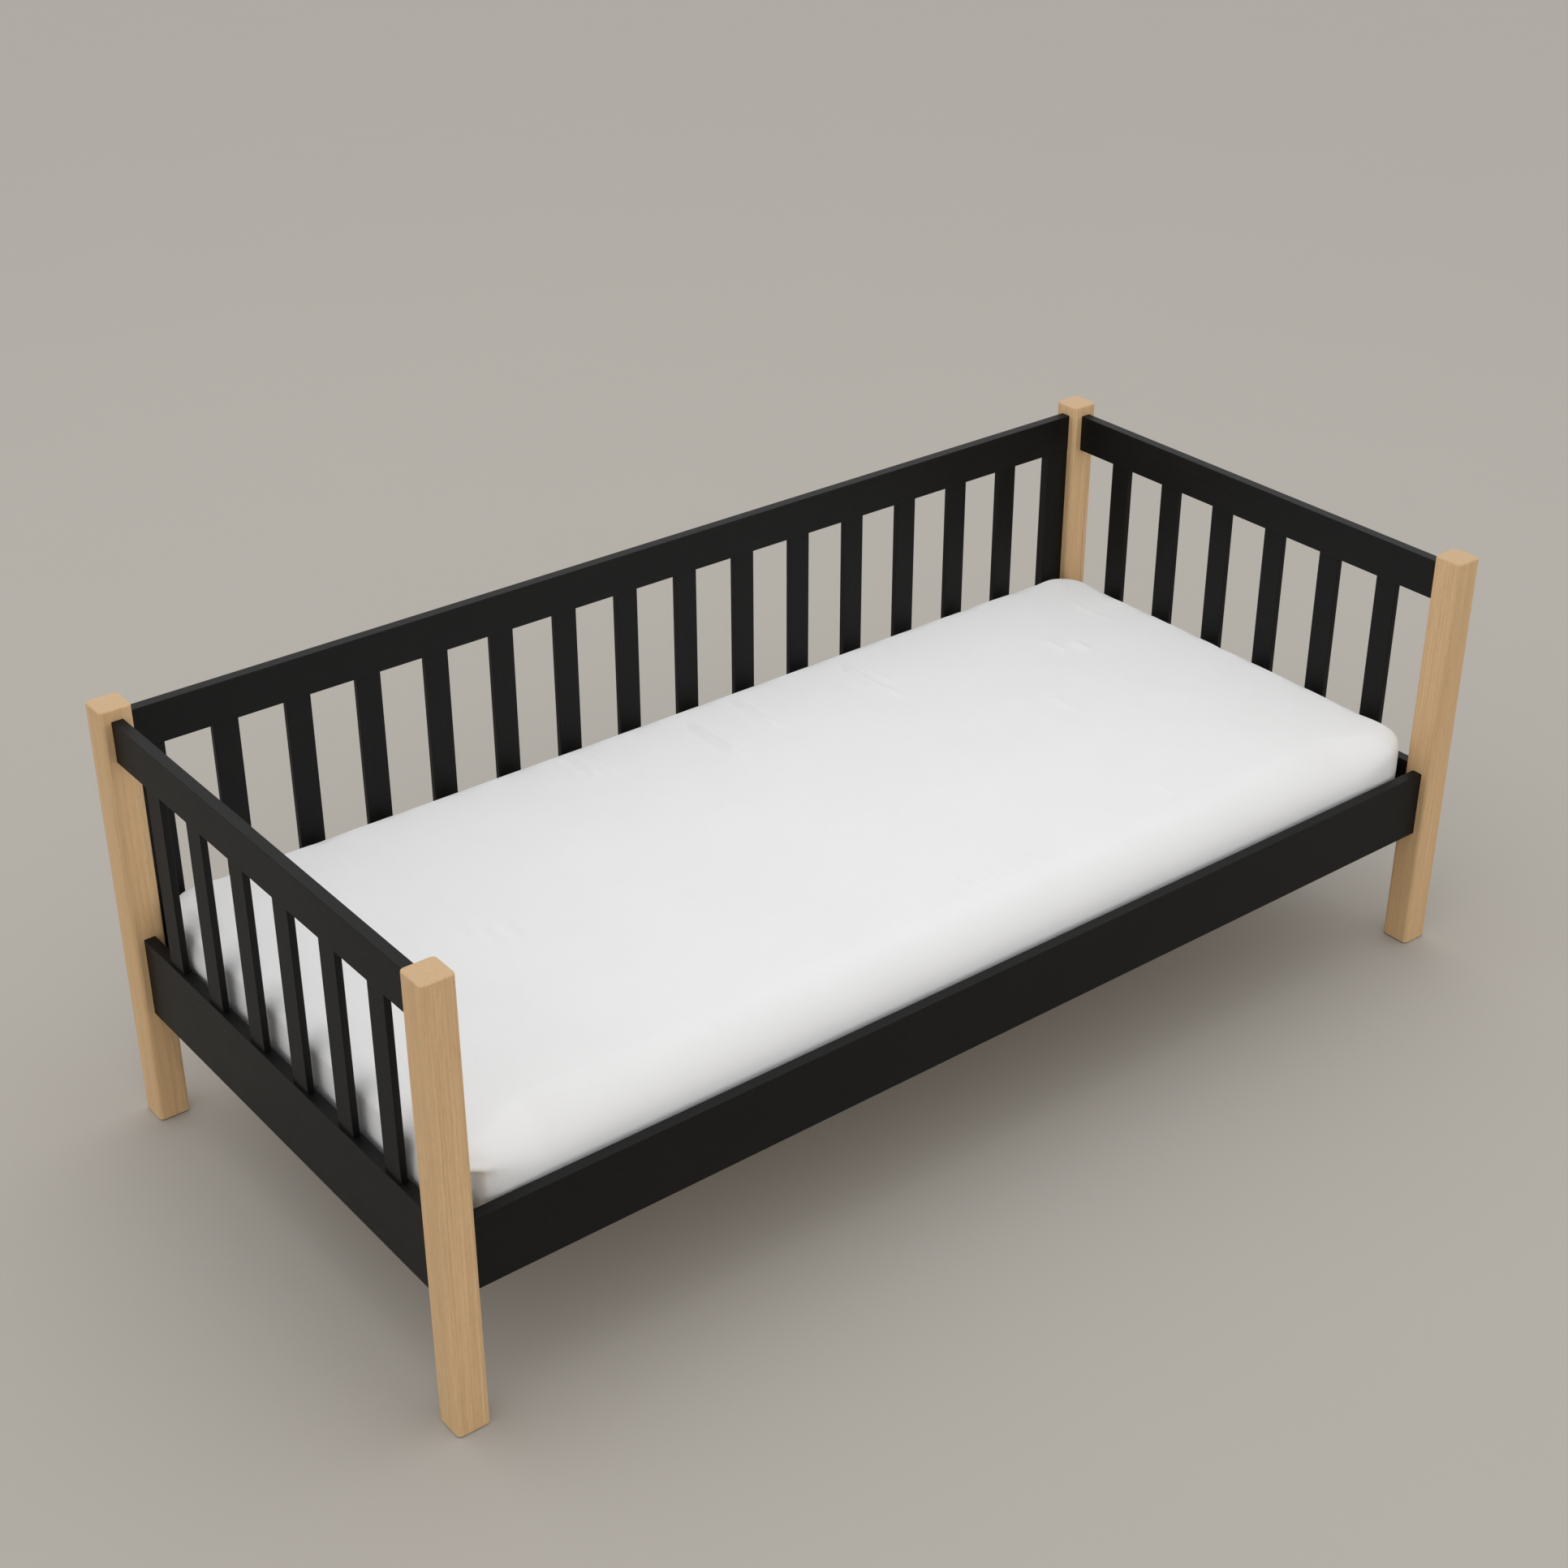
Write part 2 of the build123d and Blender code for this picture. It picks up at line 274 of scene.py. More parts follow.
def mixed(tree, share, first, second):
    """A colour between two others."""
    made = add(tree, "ShaderNodeMix", data_type="RGBA")
    for index, value in ((0, share), (6, first), (7, second)):
        if isinstance(value, bpy.types.NodeSocket):
            tree.links.new(value, made.inputs[index])
        elif index:
            made.inputs[index].default_value = (*value, 1)
        else:
            made.inputs[index].default_value = value
    return made.outputs[2]


def speckle(tree, position, scale, detail=2.0, roughness=0.5):
    """Smooth noise at a scale given in cells per metre."""
    inputs = {
        "Vector": position,
        "Scale": scale,
        "Detail": detail,
        "Roughness": roughness,
    }
    return add(tree, "ShaderNodeTexNoise", inputs).outputs["Fac"]


def new_group(name, inputs, outputs):
    """An empty node group with named sockets, and its two end nodes."""
    tree = bpy.data.node_groups.new(name, "ShaderNodeTree")
    for title, kind, default in inputs:
        socket = tree.interface.new_socket(title, in_out="INPUT", socket_type=kind)
        if default is not None:
            socket.default_value = default
    for title, kind in outputs:
        tree.interface.new_socket(title, in_out="OUTPUT", socket_type=kind)
    return (
        tree,
        tree.nodes.new("NodeGroupInput").outputs,
        tree.nodes.new("NodeGroupOutput").inputs,
    )


def place(tree, group, values):
    """Put a node group in a material with its own values."""
    made = tree.nodes.new("ShaderNodeGroup")
    made.node_tree = group
    for name, value in values.items():
        if isinstance(value, bpy.types.NodeSocket):
            tree.links.new(value, made.inputs[name])
        else:
            made.inputs[name].default_value = value
    return made.outputs


def new_material(name, **constants):
    """A material with an empty tree and a Principled BSDF with constant values."""
    material = bpy.data.materials.new(name)
    material.use_nodes = True
    tree = material.node_tree
    shader = tree.nodes["Principled BSDF"]
    for title, value in constants.items():
        shader.inputs[title.replace("_", " ")].default_value = value
    return material, tree, shader.inputs


def bumped(tree, shader, height, distance, strength=1.0):
    """Feed a height to the shader's normal."""
    values = {"Height": height, "Distance": distance, "Strength": strength}
    bump = add(tree, "ShaderNodeBump", values)
    tree.links.new(bump.outputs["Normal"], shader["Normal"])


def wire(tree, output, shader_input):
    tree.links.new(output, shader_input)


def object_position(tree):
    return tree.nodes.new("ShaderNodeTexCoord").outputs["Object"]


def grain_position(tree, axis):
    """The position turned so that the grain runs along the new Z."""
    split = add(tree, "ShaderNodeSeparateXYZ", {0: object_position(tree)}).outputs
    order = {"X": (1, 2, 0), "Y": (2, 0, 1), "Z": (0, 1, 2)}[axis]
    joined = add(
        tree, "ShaderNodeCombineXYZ", {i: split[j] for i, j in enumerate(order)}
    )
    return joined.outputs[0]


# ------------------------------------------------------------ shared node groups
def timber_group():
    """Growth rings, fibres and pores of a board whose grain runs along Z."""
    tree, given, out = new_group(
        "Timber grain",
        [
            ("Position", "NodeSocketVector", None),
            ("Pith", "NodeSocketVector", (0.1, 0.06, 0.0)),
            ("Ring Width", "NodeSocketFloat", 0.004),
            ("Wander", "NodeSocketFloat", 0.004),
        ],
        [
            ("Rings", "NodeSocketFloat"),
            ("Fibres", "NodeSocketFloat"),
            ("Pores", "NodeSocketFloat"),
            ("Height", "NodeSocketFloat"),
        ],
    )
    moved = vectors(tree, "ADD", given["Position"], given["Pith"])
    slow = vectors(tree, "MULTIPLY", moved, (14.0, 14.0, 2.2))
    drift = add(
        tree, "ShaderNodeTexNoise", {"Vector": slow, "Scale": 1.0, "Detail": 2.0}
    ).outputs["Color"]
    centred = vectors(tree, "SUBTRACT", drift, (0.5, 0.5, 0.5))
    reach = sums(tree, "MULTIPLY", given["Wander"], 4.0)
    shift = vectors(tree, "SCALE", centred, reach)
    bent = vectors(tree, "ADD", moved, shift)
    flat = vectors(tree, "MULTIPLY", bent, (1.0, 1.0, 0.0))
    turns = sums(tree, "DIVIDE", vectors(tree, "LENGTH", flat), given["Ring Width"])
    wavy = speckle(tree, vectors(tree, "MULTIPLY", bent, (90.0, 90.0, 4.0)), 1.0, 2.0)
    share = sums(tree, "FRACT", sums(tree, "MULTIPLY_ADD", wavy, 0.5, turns))
    rise = mapped(tree, share, 0.1, 0.84)
    fall = mapped(tree, share, 0.84, 1.0, 1.0, 0.0)
    strength = mapped(tree, speckle(tree, turns, 0.45, 1.0), 0.35, 0.65, 0.35, 1.0)
    sharp = sums(tree, "MULTIPLY", sums(tree, "POWER", rise, 1.8), fall)
    rings = sums(tree, "MULTIPLY", sharp, strength)
    streaks = speckle(tree, vectors(tree, "MULTIPLY", bent, (210.0, 210.0, 3.0)), 1.0, 3.0)
    hairs = speckle(tree, vectors(tree, "MULTIPLY", bent, (900.0, 900.0, 22.0)), 1.0, 3.0, 0.6)
    fibres = sums(tree, "MULTIPLY_ADD", streaks, 0.5, sums(tree, "MULTIPLY", hairs, 0.5))
    dashes = speckle(tree, vectors(tree, "MULTIPLY", bent, (1900.0, 1900.0, 75.0)), 1.0, 1.0)
    near_ring = sums(tree, "MULTIPLY_ADD", rings, 0.05, dashes)
    pores = mapped(tree, near_ring, 0.62, 0.74)
    height = sums(tree, "MULTIPLY_ADD", pores, -1.0, sums(tree, "MULTIPLY", fibres, 0.5))
    for title, value in (
        ("Rings", rings),
        ("Fibres", fibres),
        ("Pores", pores),
        ("Height", height),
    ):
        wire(tree, value, out[title])
    return tree


def weave_group():
    """Crossing threads seen on any face of a cloth, from its position and normal."""
    tree, given, out = new_group(
        "Woven threads",
        [
            ("Position", "NodeSocketVector", None),
            ("Pitch", "NodeSocketFloat", 0.001),
        ],
        [
            ("Threads", "NodeSocketFloat"),
            ("Slubs", "NodeSocketFloat"),
        ],
    )
    spread = sums(tree, "DIVIDE", 2 * math.pi, given["Pitch"])
    wobble = add(
        tree,
        "ShaderNodeTexNoise",
        {"Vector": given["Position"], "Scale": 220.0, "Detail": 2.0},
    ).outputs["Color"]
    nudge = vectors(tree, "MULTIPLY", wobble, (0.0008, 0.0008, 0.0008))
    at = add(
        tree, "ShaderNodeSeparateXYZ", {0: vectors(tree, "ADD", given["Position"], nudge)}
    ).outputs
    facing = add(
        tree,
        "ShaderNodeSeparateXYZ",
        {0: tree.nodes.new("ShaderNodeNewGeometry").outputs["Normal"]},
    ).outputs
    weights = [
        sums(tree, "SUBTRACT", 1.0, sums(tree, "ABSOLUTE", facing[axis]))
        for axis in range(3)
    ]
    waves = [
        sums(tree, "SINE", sums(tree, "MULTIPLY", at[axis], spread)) for axis in range(3)
    ]
    threads = None
    for wave, weight in zip(waves, weights):
        part = sums(tree, "MULTIPLY", sums(tree, "ABSOLUTE", wave), weight)
        threads = part if threads is None else sums(tree, "ADD", threads, part)
    slubs = speckle(tree, given["Position"], 900.0, 3.0, 0.6)
    wire(tree, sums(tree, "MULTIPLY", threads, 0.5), out["Threads"])
    wire(tree, slubs, out["Slubs"])
    return tree


def rub_group():
    """Faint handling marks and dust that break up a plain finish."""
    tree, given, out = new_group(
        "Handling marks",
        [
            ("Position", "NodeSocketVector", None),
            ("Scale", "NodeSocketFloat", 14.0),
        ],
        [("Marks", "NodeSocketFloat")],
    )
    clouds = speckle(tree, given["Position"], given["Scale"], 4.0, 0.6)
    wire(tree, mapped(tree, clouds, 0.35, 0.7), out["Marks"])
    return tree


# --------------------------------------------------------------------- materials
def oak_material(name, settings, groups, pith, tilt):
    """Oiled oak for one upright post. Each post is cut from its own place in the log."""
    material, tree, shader = new_material(
        name, Roughness=0.55, Specular_IOR_Level=0.3
    )
    position = grain_position(tree, "Z")
    leaning = add(
        tree,
        "ShaderNodeVectorRotate",
        {"Vector": position, "Angle": tilt},
        rotation_type="Y_AXIS",
    ).outputs[0]
    timber = place(
        tree,
        groups["timber"],
        {
            "Position": leaning,
            "Pith": pith,
            "Ring Width": settings.ring,
            "Wander": 0.0016,
        },
    )
    deep = sums(
        tree,
        "MULTIPLY_ADD",
        timber["Rings"],
        0.36,
        mapped(tree, timber["Fibres"], 0.38, 0.62, 0.0, 0.66),
    )
    body = mixed(tree, deep, settings.light, settings.dark)
    marks = place(tree, groups["rub"], {"Position": position, "Scale": 9.0})["Marks"]
    bands = speckle(tree, vectors(tree, "MULTIPLY", leaning, (80.0, 80.0, 1.1)), 1.0, 2.0)
    warmth = sums(
        tree, "MULTIPLY_ADD", marks, 0.2, mapped(tree, bands, 0.42, 0.62, 0.0, 0.45)
    )
    warm = mixed(tree, warmth, body, settings.warm)
    facing = add(
        tree,
        "ShaderNodeSeparateXYZ",
        {0: tree.nodes.new("ShaderNodeNewGeometry").outputs["Normal"]},
    ).outputs
    end_grain = mapped(tree, sums(tree, "ABSOLUTE", facing[2]), 0.55, 0.95, 0.0, 0.55)
    capped = mixed(tree, end_grain, warm, settings.end)
    with_pores = mixed(
        tree, sums(tree, "MULTIPLY", timber["Pores"], 0.3), capped, settings.pore
    )
    wire(tree, with_pores, shader["Base Color"])
    wire(tree, mapped(tree, timber["Fibres"], 0.3, 0.7, 0.60, 0.46), shader["Roughness"])
    bumped(tree, shader, timber["Height"], 0.00035, 0.5)
    return material


def lacquer_material(name, settings, groups, axis):
    """Satin black lacquer over a board whose grain runs along one axis."""
    material, tree, shader = new_material(
        name, Roughness=settings.roughness, Specular_IOR_Level=0.155
    )
    position = grain_position(tree, axis)
    timber = place(
        tree,
        groups["timber"],
        {
            "Position": position,
            "Pith": (0.031, 0.047, 0.0),
            "Ring Width": 0.0065,
            "Wander": 0.002,
        },
    )
    marks = place(tree, groups["rub"], {"Position": position, "Scale": 11.0})["Marks"]
    raised = sums(
        tree,
        "ADD",
        mapped(tree, timber["Fibres"], 0.4, 0.68, 0.0, 0.6),
        sums(tree, "MULTIPLY", marks, 0.4),
    )
    wire(tree, mixed(tree, raised, settings.black, settings.worn), shader["Base Color"])
    rough = sums(tree, "MULTIPLY_ADD", raised, 0.08, settings.roughness - 0.04)
    wire(tree, rough, shader["Roughness"])
    bumped(tree, shader, timber["Height"], 0.0003, 0.35)
    return material


def raw_wood_material(name, groups, axis, light, dark, pith):
    """Bare planed softwood or beech for the parts under the mattress."""
    material, tree, shader = new_material(name, Roughness=0.62, Specular_IOR_Level=0.3)
    timber = place(
        tree,
        groups["timber"],
        {
            "Position": grain_position(tree, axis),
            "Pith": pith,
            "Ring Width": 0.0055,
            "Wander": 0.003,
        },
    )
    deep = sums(
        tree,
        "ADD",
        sums(tree, "MULTIPLY", timber["Rings"], 0.6),
        mapped(tree, timber["Fibres"], 0.4, 0.7, 0.0, 0.3),
    )
    wire(tree, mixed(tree, deep, light, dark), shader["Base Color"])
    wire(tree, mapped(tree, timber["Fibres"], 0.3, 0.7, 0.66, 0.54), shader["Roughness"])
    bumped(tree, shader, timber["Height"], 0.0003, 0.4)
    return material


def steel_material(name, groups):
    """Zinc plated steel with a cloudy, slightly stained surface."""
    material, tree, shader = new_material(name, Metallic=1.0, Roughness=0.35)
    position = object_position(tree)
    marks = place(tree, groups["rub"], {"Position": position, "Scale": 260.0})["Marks"]
    colour = mixed(tree, marks, (0.66, 0.67, 0.68), (0.52, 0.52, 0.50))
    wire(tree, colour, shader["Base Color"])
    wire(tree, mapped(tree, marks, 0.0, 1.0, 0.26, 0.44), shader["Roughness"])
    bumped(tree, shader, marks, 0.0001, 0.3)
    return material


def cloth_material(name, groups, colour, shade, pitch, depth, sheen):
    """Woven cloth: threads, slubs and a soft sheen."""
    material, tree, shader = new_material(
        name,
        Roughness=0.88,
        Specular_IOR_Level=0.2,
        Sheen_Weight=sheen,
        Sheen_Roughness=0.55,
    )
    position = object_position(tree)
    weave = place(tree, groups["weave"], {"Position": position, "Pitch": pitch})
    cloudy = place(tree, groups["rub"], {"Position": position, "Scale": 7.0})["Marks"]
    dull = sums(
        tree,
        "ADD",
        mapped(tree, weave["Threads"], 0.0, 0.8, 0.30, 0.0),
        sums(
            tree,
            "ADD",
            mapped(tree, weave["Slubs"], 0.35, 0.7, 0.0, 0.45),
            sums(tree, "MULTIPLY", cloudy, 0.25),
        ),
    )
    wire(tree, mixed(tree, dull, colour, shade), shader["Base Color"])
    wire(tree, mapped(tree, weave["Slubs"], 0.3, 0.7, 0.82, 0.94), shader["Roughness"])
    height = sums(tree, "MULTIPLY_ADD", weave["Slubs"], 0.8, weave["Threads"])
    bumped(tree, shader, height, depth, 0.6)
    return material


def groups_once():
    """The shared node groups, made the first time that they are asked for."""
    makers = {
        "timber": ("Timber grain", timber_group),
        "weave": ("Woven threads", weave_group),
        "rub": ("Handling marks", rub_group),
    }
    return {
        key: bpy.data.node_groups.get(name) or maker()
        for key, (name, maker) in makers.items()
    }


def finish_nodes(names, material):
    """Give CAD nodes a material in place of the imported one."""
    for name in names:
        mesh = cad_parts[name].data
        mesh.materials.clear()
        mesh.materials.append(material)


def nodes_like(*starts):
    return sorted(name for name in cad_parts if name.startswith(starts))


# ------------------------------------------------------------------ mattress mesh
def corner_paths(half_x, half_y, radius, steps_x, steps_y):
    """Arc centres and outward directions round a rounded rectangle.

    The list starts in the middle of the front left corner and has steps_x points
    along each long side and steps_y along each short one.
    """
    reach_x, reach_y = half_x - radius, half_y - radius
    sides = [
        (-reach_x, -reach_y, 1, 0, 225, 2 * reach_x, steps_x),
        (reach_x, -reach_y, 0, 1, 315, 2 * reach_y, steps_y),
        (reach_x, reach_y, -1, 0, 45, 2 * reach_x, steps_x),
        (-reach_x, reach_y, 0, -1, 135, 2 * reach_y, steps_y),
    ]
    arc = radius * math.pi / 4
    centres, directions = [], []
    for start_x, start_y, along_x, along_y, first, straight, steps in sides:
        for step in range(steps):
            way = (straight + 2 * arc) * step / steps
            on_line = min(max(way - arc, 0), straight)
            turned = math.radians(first) + (way - on_line) / radius
            centres.append((start_x + along_x * on_line, start_y + along_y * on_line))
            directions.append((math.cos(turned), math.sin(turned)))
    return np.array(centres), np.array(directions)


def coons_grid(loop, steps_x, steps_y):
    """Inside points of a patch whose edge is a closed loop of points."""
    front = loop[: steps_x + 1]
    right = loop[steps_x : steps_x + steps_y + 1]
    back = loop[steps_x + steps_y : 2 * steps_x + steps_y + 1][::-1]
    left = np.concatenate([loop[2 * steps_x + steps_y :], loop[:1]])[::-1]
    u = np.linspace(0, 1, steps_x + 1)[None, :, None]
    v = np.linspace(0, 1, steps_y + 1)[:, None, None]
    ruled = (1 - v) * front[None] + v * back[None] + (1 - u) * left[:, None] + u * right[:, None]
    corners = (
        (1 - u) * (1 - v) * front[0]
        + u * (1 - v) * front[-1]
        + (1 - u) * v * back[0]
        + u * v * back[-1]
    )
    return ruled - corners


def edge_numbers(steps_x, steps_y, first):
    """Numbers of the grid's edge points, in the loop's order."""
    wide = steps_x + 1
    front = [i for i in range(steps_x)]
    right = [steps_x + j * wide for j in range(steps_y)]
    back = [steps_y * wide + steps_x - i for i in range(steps_x)]
    left = [(steps_y - j) * wide for j in range(steps_y)]
    return [first + number for number in front + right + back + left]


# Shape of the mattress' edges: how deep they round over, as shares of their reach, how
# far from the middle the worn front edge goes, and how many steps the mesh has.
EDGE_DROP = 0.72
EDGE_UNDER = 0.7
WORN_REACH = 0.76
WORN_FADE = 0.10
EDGE_STEPS = 8
SIDE_STEPS = 4


def mattress_mesh(settings):
    """Points and faces of the closed mattress, and the faces of its underside.

    A patch covers the top, rings go round the edges and sides, and a second patch
    closes the underside. The front edge is rounder than the others.
    """
    half_x, half_y = COVER_HIGH.x, COVER_HIGH.y
    low, high = COVER_LOW.z, COVER_HIGH.z
    corner, step = settings.corner, settings.step
    steps_x, steps_y = round(2 * half_x / step), round(2 * half_y / step)
    centres, directions = corner_paths(half_x, half_y, corner, steps_x, steps_y)
    front = np.clip(-directions[:, 1], 0, 1) ** 3
    worn = 1 - np.clip((np.abs(centres[:, 0]) - WORN_REACH) / WORN_FADE, 0, 1)
    soft = front * worn
    firm_drop = EDGE_DROP * settings.edge
    inward = settings.edge + (settings.front_edge - settings.edge) * soft
    drop = firm_drop + (settings.front_edge - firm_drop) * soft
    under = settings.edge * EDGE_UNDER

    def ring(inset, z):
        flat = centres + directions * (corner - inset)[:, None]
        return np.column_stack([flat, z])

    profile = []
    for i in range(EDGE_STEPS + 1):
        turn = math.pi / 2 * i / EDGE_STEPS
        profile.append((inward * (1 - math.sin(turn)), high - drop * (1 - math.cos(turn))))
    for i in range(1, SIDE_STEPS):
        share = i / SIDE_STEPS
        profile.append((0 * inward, (high - drop) * (1 - share) + (low + under) * share))
    for i in range(EDGE_STEPS // 2 + 1):
        turn = math.pi / 2 * (1 - 2 * i / EDGE_STEPS)
        inset = under * (1 - math.sin(turn)) + 0 * inward
        profile.append((inset, low + under * (1 - math.cos(turn)) + 0 * inward))

    top = coons_grid(ring(*profile[0]), steps_x, steps_y).reshape(-1, 3)
    rings = [ring(*part) for part in profile[1:-1]]
    bottom = coons_grid(ring(*profile[-1]), steps_x, steps_y).reshape(-1, 3)
    points = np.concatenate([top, *rings, bottom])

    faces = []
    wide = steps_x + 1
    around = len(centres)
    for j in range(steps_y):
        for i in range(steps_x):
            a = j * wide + i
            faces.append((a, a + 1, a + 1 + wide, a + wide))
    loops = [edge_numbers(steps_x, steps_y, 0)]
    for number in range(len(rings)):
        first = len(top) + number * around
        loops.append(list(range(first, first + around)))
    under_first = len(top) + len(rings) * around
    loops.append(edge_numbers(steps_x, steps_y, under_first))
    for upper, lower in zip(loops, loops[1:]):
        for i in range(around):
            j = (i + 1) % around
            faces.append((upper[i], lower[i], lower[j], upper[j]))
    under_start = len(faces)
    for j in range(steps_y):
        for i in range(steps_x):
            a = under_first + j * wide + i
            faces.append((a, a + wide, a + 1 + wide, a + 1))
    margin = round(settings.hem / step)
    open_faces = {
        under_start + j * steps_x + i
        for j in range(margin, steps_y - margin)
        for i in range(margin, steps_x - margin)
    }
    return points, faces, open_faces


def new_object(name, points, faces):
    """A smooth-shaded mesh object from points and faces."""
    mesh = bpy.data.meshes.new(name)
    mesh.from_pydata([tuple(p) for p in points], [], faces)
    mesh.update()
    mesh.shade_smooth()
    made = bpy.data.objects.new(name, mesh)
    bpy.context.scene.collection.objects.link(made)
    return made


def get_points(mesh):
    flat = np.zeros(len(mesh.vertices) * 3, np.float32)
    mesh.vertices.foreach_get("co", flat)
    return flat.reshape(-1, 3).astype(float)


def set_points(mesh, points):
    mesh.vertices.foreach_set("co", points.astype(np.float32).ravel())
    mesh.update()


def get_normals(mesh):
    flat = np.zeros(len(mesh.vertices) * 3, np.float32)
    mesh.vertices.foreach_get("normal", flat)
    return flat.reshape(-1, 3).astype(float)


SWELL_FRAMES = 14
SWELL_PRESSURE = 3.0
SWELL_CAP = 0.006


def swell(made):
    """Blow the mattress up a little as cloth, so that its sides and edges fill out."""
    cloth = made.modifiers.new("Cloth", "CLOTH")
    cloth.settings.quality = 4
    cloth.settings.mass = 0.4
    cloth.settings.tension_stiffness = 30
    cloth.settings.compression_stiffness = 20
    cloth.settings.shear_stiffness = 10
    cloth.settings.bending_stiffness = 4
    cloth.settings.use_pressure = True
    cloth.settings.uniform_pressure_force = SWELL_PRESSURE
    cloth.settings.effector_weights.gravity = 0
    cloth.point_cache.frame_end = SWELL_FRAMES
    scene = bpy.context.scene
    for number in range(1, SWELL_FRAMES + 1):
        scene.frame_set(number)
    depsgraph = bpy.context.evaluated_depsgraph_get()
    swollen = get_points(made.evaluated_get(depsgraph).data)
    made.modifiers.remove(cloth)
    scene.frame_set(1)
    return swollen


def window(values, low, high, soft):
    """1 between low and high, falling to 0 over soft on either side."""
    rise = np.clip((values - low) / soft + 1, 0, 1)
    fall = np.clip((high - values) / soft + 1, 0, 1)
    return (rise * rise * (3 - 2 * rise)) * (fall * fall * (3 - 2 * fall))


def soft_noise(points, scale, seed):
    """Smooth noise from -1 to 1 at each point, with cells of the given size."""
    shift = Vector((seed * 13.7, seed * 5.3, seed * 9.1))
    return np.array([noise.noise(Vector(p) / scale + shift) for p in points])


# Short creases across the sheet: middle x, start y, end y, height and how it bends.
CREASES = [
    (0.000, 0.185, 0.352, 0.0030, 0.012),
    (0.024, 0.205, 0.318, 0.0016, 0.010),
    (0.105, 0.222, 0.372, 0.0026, 0.010),
    (0.128, 0.250, 0.330, 0.0012, 0.008),
    (0.322, 0.190, 0.356, 0.0030, 0.018),
    (0.348, 0.225, 0.330, 0.0014, 0.012),
    (-0.212, 0.275, 0.372, 0.0020, 0.010),
    (-0.188, 0.270, 0.350, 0.0014, 0.008),
    (-0.236, 0.300, 0.372, 0.0012, 0.006),
    (-0.600, -0.004, 0.046, 0.0009, 0.004),
    (-0.576, -0.031, 0.030, 0.0010, 0.003),
    (-0.541, -0.037, 0.018, 0.0009, -0.004),
    (0.030, -0.326, -0.276, 0.0017, 0.003),
    (0.079, -0.334, -0.282, 0.0018, 0.004),
    (0.148, -0.332, -0.298, 0.0013, -0.003),
    (0.446, -0.310, -0.255, 0.0014, -0.006),
    (0.654, 0.144, 0.205, 0.0016, 0.003),
    (0.690, 0.120, 0.172, 0.0018, -0.003),
    (0.798, 0.177, 0.292, 0.0008, 0.010),
    (0.820, 0.200, 0.270, 0.0004, 0.008),
    (0.521, -0.018, 0.042, 0.0012, 0.002),
]
CREASE_WIDE = 0.0065
# How the sheet lies on the mattress, and how near both come to the rails.
SHEET_OFFSET = 0.0009
SHEET_CLEAR = 0.0008
PAD_CLEAR = 0.0022
PAD_UNDER_SHEET = 0.0022
PAD_TUCK = 0.004
GATHER_TALL = 0.05
CORNER_FADE = 0.03
# The lie of the mattress top along its length, from the left end to the right end.
SAG_PLACES = (0.0, 0.125, 0.25, 0.375, 0.5, 0.625, 0.75, 0.875, 0.94, 0.98, 1.0)
SAG_DEPTHS = (0.0, -0.15, -0.42, -0.72, -0.93, -1.0, -0.9, -0.6, -0.8, -1.5, -2.0)


def crease_heights(points):
    """How far each point of the top is lifted by the creases."""
    lifted = np.zeros(len(points))
    x, y = points[:, 0], points[:, 1]
    for middle, start, end, height, bend in CREASES:
        way = np.clip((y - start) / (end - start), 0, 1)
        off = x - middle - bend * (way - 0.5) ** 2 * 2
        ridge = np.exp(-((off / CREASE_WIDE) ** 2))
        trough = np.exp(-(((off + 1.9 * CREASE_WIDE) / (1.15 * CREASE_WIDE)) ** 2))
        fade = 0.24 * (end - start)
        shown = window(y, start + fade, end - fade, fade)
        lifted += height * shown * (ridge - 0.32 * trough)
    return lifted


# The tuck: its slope to the right, where its front face starts, how deep the sheet goes in
# behind the post and beside it, and how far its lip stands out.
TUCK_SLOPE = 0.30
TUCK_FRONT = -0.365
TUCK_DEEP = 0.022
TUCK_SHALLOW = 0.004
TUCK_LIP = 0.0022


def tuck_corner(points, settings, deeper=0.0):
    """Press in the sheet below the tuck beside the front left post."""
    x, y, z = points.T
    start = -COVER_HIGH.x + settings.corner
    beside = np.clip((start - 0.014 - x) / 0.007, 0, 1)
    folded = np.clip((start + 0.012 - x) / 0.022, 0, 1)
    front = np.clip((TUCK_FRONT - y) / 0.012, 0, 1)
    line = settings.tuck - TUCK_SLOPE * np.clip(x - start + 0.012, -0.01, 0.03)
    below = np.clip((line - z) / 0.005, 0, 1)
    lip = np.exp(-(((z - line - 0.005) / 0.005) ** 2))
    inward = (TUCK_DEEP + deeper) * below * beside
    inward += (TUCK_SHALLOW * below - TUCK_LIP * lip) * folded
    points[:, 0] += 0.45 * inward * front
    points[:, 1] += 0.90 * inward * front
    return points


def slow_waves(points, on_top):
    """The sheet is never quite flat: how far it stands off in long soft waves."""
    slow = soft_noise(points, 0.16, 1) + 0.5 * soft_noise(points, 0.06, 2)
    return 0.0006 * slow * (1 - 0.5 * on_top)


def hem_ripples(points):
    """Ripples near the bottom, where the elastic gathers the sheet."""
    near = np.clip((COVER_LOW.z + GATHER_TALL - points[:, 2]) / GATHER_TALL, 0, 1)
    return 0.0009 * near * soft_noise(points * np.array([1, 1, 0.25]), 0.014, 3)


